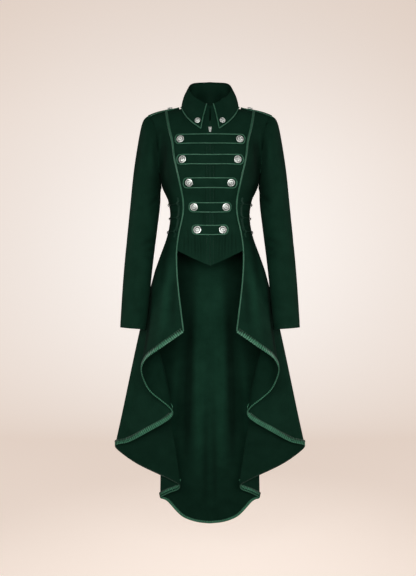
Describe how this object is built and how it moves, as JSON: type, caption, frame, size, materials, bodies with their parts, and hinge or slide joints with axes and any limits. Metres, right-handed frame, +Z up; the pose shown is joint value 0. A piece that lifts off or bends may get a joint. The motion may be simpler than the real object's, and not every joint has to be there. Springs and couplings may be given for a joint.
{
  "type": "tailcoat, worn shape with no wearer",
  "caption": "Women's military-style tailcoat: high collar, button straps across a zipped front, long sleeves, cutaway skirt falling in flutes to a long tail.",
  "frame": {"origin": "middle of the neck base, level with the points where the collar meets the shoulder seams; the wearer's neck and shoulders hold the coat there", "axes": "+Z up along the wearer, -Y to the front, +X to the right in a view from the front"},
  "size_m": [0.5846, 0.4451, 1.3799],
  "materials": {
    "cloth": "matt dark green wool-like cloth with a fine twill",
    "satin": "mid green satin, soft sheen",
    "lace": "dark green lace",
    "tape": "black-green zip tape",
    "metal": "silver-coloured metal with a soft shine"
  },
  "bodies": {
    "coat": {"centre_front_left": "cloth", "centre_front_right": "cloth", "side_front_left": "cloth", "side_front_right": "cloth", "side_back_left": "cloth", "side_back_right": "cloth", "back_left": "cloth", "back_right": "cloth", "sleeve_left": "cloth", "sleeve_right": "cloth", "epaulette_left": "cloth", "epaulette_right": "cloth", "collar_stand": "cloth", "collar_leaf": "cloth", "strap_1": "cloth", "strap_2": "cloth", "strap_3": "cloth", "strap_4": "cloth", "strap_5": "cloth", "piping_left": "satin", "piping_right": "satin", "hem_band_left": "satin", "hem_band_right": "satin", "epaulette_piping_left": "satin", "epaulette_piping_right": "satin", "loop_tape_front_left": "satin", "loop_tape_front_right": "satin", "loop_tape_back_left": "satin", "loop_tape_back_right": "satin", "collar_piping": "satin", "strap_piping_1": "satin", "strap_piping_2": "satin", "strap_piping_3": "satin", "strap_piping_4": "satin", "strap_piping_5": "satin", "side_lacing_left": "lace", "side_lacing_right": "lace", "zip_tape": "tape", "zip_slider": "metal", "button_1_left": "metal", "button_1_right": "metal", "button_2_left": "metal", "button_2_right": "metal", "button_3_left": "metal", "button_3_right": "metal", "button_4_left": "metal", "button_4_right": "metal", "button_5_left": "metal", "button_5_right": "metal", "collar_button_left": "metal", "collar_button_right": "metal", "epaulette_button_left": "metal", "epaulette_button_right": "metal"},
    "zip_pull": {"zip_pull": "metal"}
  },
  "joints": [
    {"name": "pull_swing", "type": "hinge", "parent": "coat", "child": "zip_pull", "pos_m": [0, -0.09483, -0.06758], "axis": [-1, 0, 0], "range_deg": [0, 150]}
  ]
}
